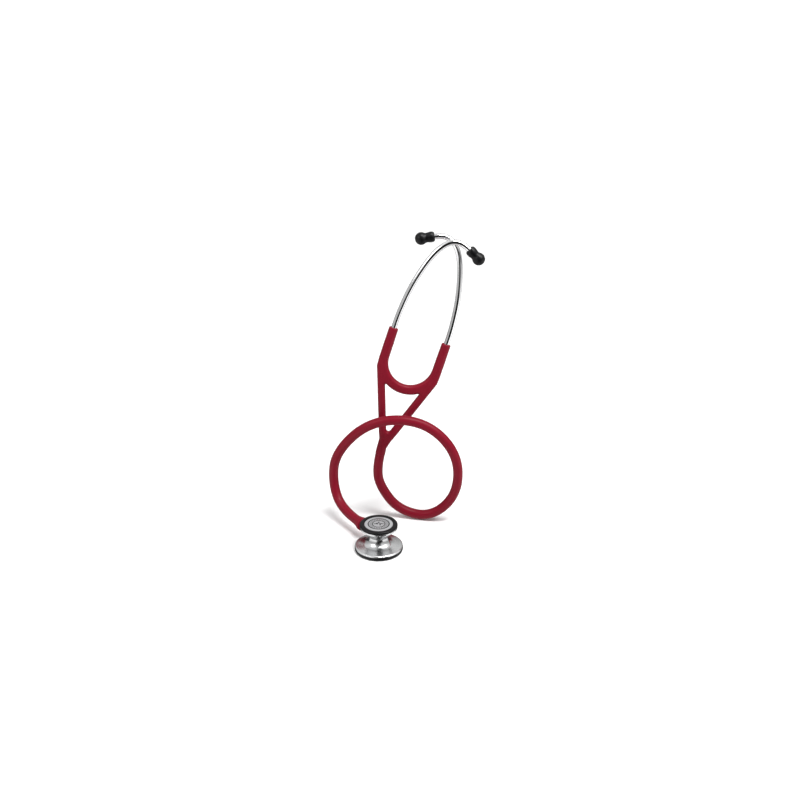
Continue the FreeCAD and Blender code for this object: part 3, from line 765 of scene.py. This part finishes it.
chest = {
    "sides": 160,
    "body": [(20.6, 1.5), (20.6, 3.5), (22.1, 3.5, 0.25), (22.1, 4.55, 0.45), (21.2, 5.1, 1.0), (12.6, 7.1, 14.0),
             (9.3, 10.3, 9.0), (8.4, 14.0, 9.0), (9.3, 17.4, 9.0), (12.6, 20.7, 7.0), (16.3, 22.0, 0.9),
             (17.3, 22.9, 0.4), (17.3, 24.5, 0.3), (14.2, 24.5), (14.2, 25.1), (11.5, 25.1), (1.5, 23.1),
             (1.5, 4.3), (18.7, 1.5)],
    "bossRadius": 5.4, "bossLength": 12.0, "bossStart": 3.0,
    "boreRadius": 3.12, "boreBack": -6.5, "boreMouth": 14.0, "counterbore": 4.3, "counterboreStart": 9.0,
    "largeRim": [(20.4, 0.4), (21.9, 0.4, 0.5), (22.3, 1.6, 0.6), (22.3, 3.48, 0.35), (20.62, 3.48), (20.62, 1.45),
                 (18.8, 1.45), (18.8, 1.0), (20.4, 1.0)],
    "smallRim": [(13.2, 26.45), (14.3, 26.9, 0.5), (15.7, 27.0, 1.2), (16.9, 26.8, 0.8), (17.5, 26.0, 0.6),
                 (17.5, 24.52, 0.4), (14.22, 24.52), (14.22, 25.15), (11.6, 25.15), (11.6, 25.55), (13.2, 25.55)],
    "largeSheet": [(0, 0), (19.7, 0), (20.2, 0.12, 0.1), (20.2, 0.6), (19.4, 0.6), (19.4, 0.5), (0, 0.5)],
    "smallSheet": [(0, 26.0), (12.2, 26.0), (12.2, 25.9), (13.0, 25.9), (13.0, 26.5, 0.1), (12.6, 26.6), (0, 26.6)],
}


def buildChest(c):
    body = turnedShape("chestBody", filleted(c["body"], 7), sides=c["sides"], closed=True)
    boss = turnedShape("boss", filleted([(0, c["bossStart"]), (c["bossRadius"], c["bossStart"]),
                                         (c["bossRadius"], c["bossLength"], 0.5), (0, c["bossLength"])]), sides=64)
    placeAndApply(boss, stemPlace)
    applyModifier(body, "BOOLEAN", operation="UNION", solver="EXACT", object=boss)
    removeTool(boss)
    boreOutline = [(0, c["boreBack"]), (c["boreRadius"], c["boreBack"]), (c["boreRadius"], c["counterboreStart"]),
                   (c["counterbore"], c["counterboreStart"]), (c["counterbore"], c["boreMouth"]), (0, c["boreMouth"])]
    bore = turnedShape("bore", boreOutline, sides=64)
    placeAndApply(bore, stemPlace)
    applyModifier(body, "BOOLEAN", operation="DIFFERENCE", solver="EXACT", object=bore)
    removeTool(bore)
    pickOnly(body)
    bpy.ops.object.shade_smooth_by_angle(angle=math.radians(32))
    settle(body, "turnedSteel", "chestpiece", "turned_steel", "chest_body")

    for name, outline, finish, bodyName, slotName, node, closed in (
            ("largeRim", "largeRim", "blackRim", "chestpiece", "black_rim", "large_rim", True),
            ("smallRim", "smallRim", "blackRim", "chestpiece", "black_rim", "small_rim", True),
            ("largeDiaphragm", "largeSheet", "sheet", "large_disc", "diaphragm_sheet", "large_diaphragm", False),
            ("smallDiaphragm", "smallSheet", "dial", "small_disc", "printed_diaphragm", "small_diaphragm", False)):
        obj = turnedShape(name, filleted(c[outline]), sides=c["sides"], closed=closed)
        settle(obj, finish, bodyName, slotName, node)


buildChest(chest)
print("chestpiece ready")


# Pulse line printed on the small diaphragm

pulse = {"points": [(-4.7, 0), (-2.8, 0), (-2.1, 0.9), (-1.4, -0.5), (0.1, 3.3), (1.3, -2.6), (2.0, 0.7),
                    (2.8, 0), (4.7, 0)],
         "width": 1.05, "height": 26.6, "proud": 0.03}


# The outline of an even line through the points
def thickLine(points, width):
    ways = [(Vector(b) - Vector(a)).normalized() for a, b in zip(points, points[1:])]
    ways = [ways[0]] + ways + [ways[-1]]
    above, below = [], []
    for point, before, after in zip(points, ways, ways[1:]):
        across = Vector((-(before + after).y, (before + after).x)).normalized()
        reach = width / 2 / max(0.45, across.dot(Vector((-before.y, before.x))))
        above.append(tuple(Vector(point) + across * reach))
        below.append(tuple(Vector(point) - across * reach))
    return above + below[::-1]


def buildPulse(p):
    outline = thickLine(p["points"], p["width"])
    obj = tracedPlate("pulseLine", outline, p["proud"])
    finishShape(obj)
    lift = Matrix.Translation((0, 0, (p["height"] + p["proud"] / 2 - 0.005) * mm))
    placeAndApply(obj, lift @ Matrix.Rotation(math.radians(-90), 4, "X"))
    return settle(obj, "ink", "small_disc", "printed_diaphragm")


buildPulse(pulse)
print("print added")


# Light of the room: even on the floor, with dark and bright bands for what the metal mirrors

def tonedRamp(tree, value, tones):
    ramp = put(tree, "ValToRGB", {0: value})
    elements = ramp.color_ramp.elements
    elements[0].position, elements[1].position = tones[0][0], tones[-1][0]
    elements[0].color, elements[1].color = (tones[0][1],) * 3 + (1,), (tones[-1][1],) * 3 + (1,)
    for place, tone in tones[1:-1]:
        elements.new(place).color = (tone, tone, tone, 1)
    return ramp.outputs[0]


def buildRoom(s):
    room = bpy.data.worlds.new("room")
    scene.world = room
    room.use_nodes = True
    tree = room.node_tree
    parts = put(tree, "SeparateXYZ", {0: put(tree, "TexCoord").outputs["Generated"]}).outputs
    above = tonedRamp(tree, parts[2], s["mirrorAbove"])
    below = tonedRamp(tree, calc(tree, "MULTIPLY", parts[2], -1.0), s["mirrorBelow"])
    turn = calc(tree, "DIVIDE", calc(tree, "ARCTAN2", parts[0], calc(tree, "MULTIPLY", parts[1], -1.0)), 2 * math.pi)
    facingUp = calc(tree, "GREATER_THAN", parts[2], 0.0)
    turn = calc(tree, "ADD", turn, 0.5)
    around = blendColours(tree, facingUp, tonedRamp(tree, turn, s["aroundBelow"]),
                          tonedRamp(tree, turn, s["aroundAbove"]))
    upOrDown = blendColours(tree, facingUp, below, above)
    level = calc(tree, "SUBTRACT", 1.0, calc(tree, "POWER", calc(tree, "ABSOLUTE", parts[2]), 4.0))
    mirrored = blendColours(tree, level, upOrDown, put(tree, "VectorMath", {0: upOrDown, 1: around},
                                                       operation="MULTIPLY").outputs[0])
    rays = put(tree, "LightPath").outputs
    even = (s["worldLight"],) * 3 + (1,)
    lit = blendColours(tree, rays["Is Glossy Ray"], even, mirrored)
    seen = blendColours(tree, rays["Is Camera Ray"], lit, (1, 1, 1, 1))
    background = tree.nodes["Background"]
    tree.links.new(seen, background.inputs["Color"])
    background.inputs["Strength"].default_value = 1.0


buildRoom(studio)
print("room light ready")
